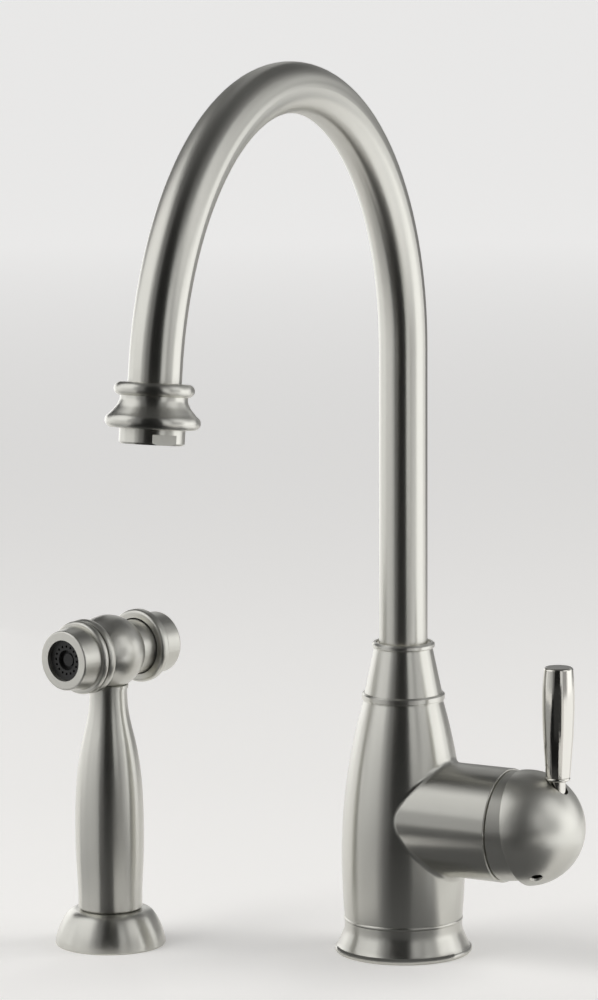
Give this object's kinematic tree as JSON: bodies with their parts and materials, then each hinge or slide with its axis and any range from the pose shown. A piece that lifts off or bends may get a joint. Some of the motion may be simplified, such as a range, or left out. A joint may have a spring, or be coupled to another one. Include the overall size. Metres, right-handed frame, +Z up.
{
  "type": "side spray kitchen faucet",
  "caption": "Gooseneck kitchen faucet with a ball-and-lever handle on its right, and a pull-up side spray standing in its own deck holder.",
  "frame": {"origin": "middle of the faucet's foot, on the sink deck", "axes": "+Z up, +X along the valve housing towards the handle, -Y towards the spout's side of the sink"},
  "size_m": [0.2419, 0.3007, 0.4701],
  "materials": {
    "satin_nickel": "fine brushed satin nickel plate over brass",
    "polished_nickel": "polished nickel plate",
    "brass": "as machined",
    "steel": "plain stainless steel",
    "dark_plastic": "moulded, semi-matt",
    "white_plastic": "moulded acetal",
    "ceramic": "lapped ceramic",
    "rubber": "moulded"
  },
  "bodies": {
    "faucet_body": {"base_ring": "satin_nickel", "base_seal": "rubber", "body_shell": "satin_nickel", "neck_collar": "satin_nickel", "collar_bush": "white_plastic", "thrust_washer_lower": "white_plastic", "thrust_washer_upper": "white_plastic", "mounting_shank": "brass", "deck_washer": "rubber", "clamp_washer": "steel", "lock_nut": "brass", "diverter_body": "white_plastic", "cartridge_body": "white_plastic", "cartridge_base": "white_plastic", "port_seals": "rubber", "fixed_disc": "ceramic", "cartridge_nut": "brass", "bonnet": "satin_nickel", "spray_holder": "satin_nickel", "holder_guide": "dark_plastic", "holder_shank": "brass", "holder_seal": "rubber", "holder_washer": "rubber", "holder_nut": "dark_plastic"},
    "spout": {"spout_tube": "satin_nickel", "spout_foot": "brass", "spout_seals": "rubber", "outlet_body": "satin_nickel", "aerator_shell": "satin_nickel", "aerator_insert": "white_plastic", "aerator_washer": "rubber"},
    "handle_carrier": {"cartridge_rotor": "white_plastic", "pivot_pin": "steel"},
    "handle": {"handle_ball": "satin_nickel", "lever": "polished_nickel", "set_screw": "steel", "cartridge_stem": "steel"},
    "disc": {"moving_disc": "ceramic"},
    "diverter": {"diverter_piston": "white_plastic", "diverter_seal": "rubber"},
    "hose_end": {"hose_connector": "brass", "connector_seal": "rubber"},
    "wand": {"spray_grip": "satin_nickel", "neck_ring": "satin_nickel", "spray_head": "satin_nickel", "nozzle_shell": "satin_nickel", "face_seal": "rubber", "spray_face": "dark_plastic", "valve_seat": "brass", "rod_seal": "rubber", "trigger_spring": "steel"},
    "trigger": {"push_button": "satin_nickel", "valve_spool": "brass"}
  },
  "joints": [
    {"name": "spout_swivel", "type": "hinge", "parent": "faucet_body", "child": "spout", "pos_m": [0, 0, 0.12], "axis": [0, 0, 1], "continuous": true},
    {"name": "handle_turn", "type": "hinge", "parent": "faucet_body", "child": "handle_carrier", "pos_m": [0.0639, 0, 0.064], "axis": [1, 0, 0], "range_deg": [-45, 45]},
    {"name": "handle_lift", "type": "hinge", "parent": "handle_carrier", "child": "handle", "pos_m": [0.0639, 0, 0.064], "axis": [0, 1, 0], "range_deg": [0, 18]},
    {"name": "disc_slide", "type": "slide", "parent": "handle_carrier", "child": "disc", "axis": [0, 0, 1], "range_m": [0, 0.0045]},
    {"name": "diverter_slide", "type": "slide", "parent": "faucet_body", "child": "diverter", "axis": [0, 0, 1], "range_m": [0, 0.003]},
    {"name": "spray_lift", "type": "slide", "parent": "faucet_body", "child": "hose_end", "axis": [0, 0, 1], "range_m": [0, 0.2]},
    {"name": "spray_swivel", "type": "hinge", "parent": "hose_end", "child": "wand", "pos_m": [-0.126, -0.0532, 0.02], "axis": [0, 0, 1], "continuous": true},
    {"name": "spray_trigger", "type": "slide", "parent": "wand", "child": "trigger", "axis": [-0.1719, -0.9851, 0], "range_m": [0, 0.005], "stiffness_N_per_m": 900, "springref_m": -0.004, "deforming": ["trigger_spring"]}
  ],
  "couplings": [
    {"joint": "disc_slide", "follows": "handle_lift", "m_per_rad": 0.01414}
  ]
}
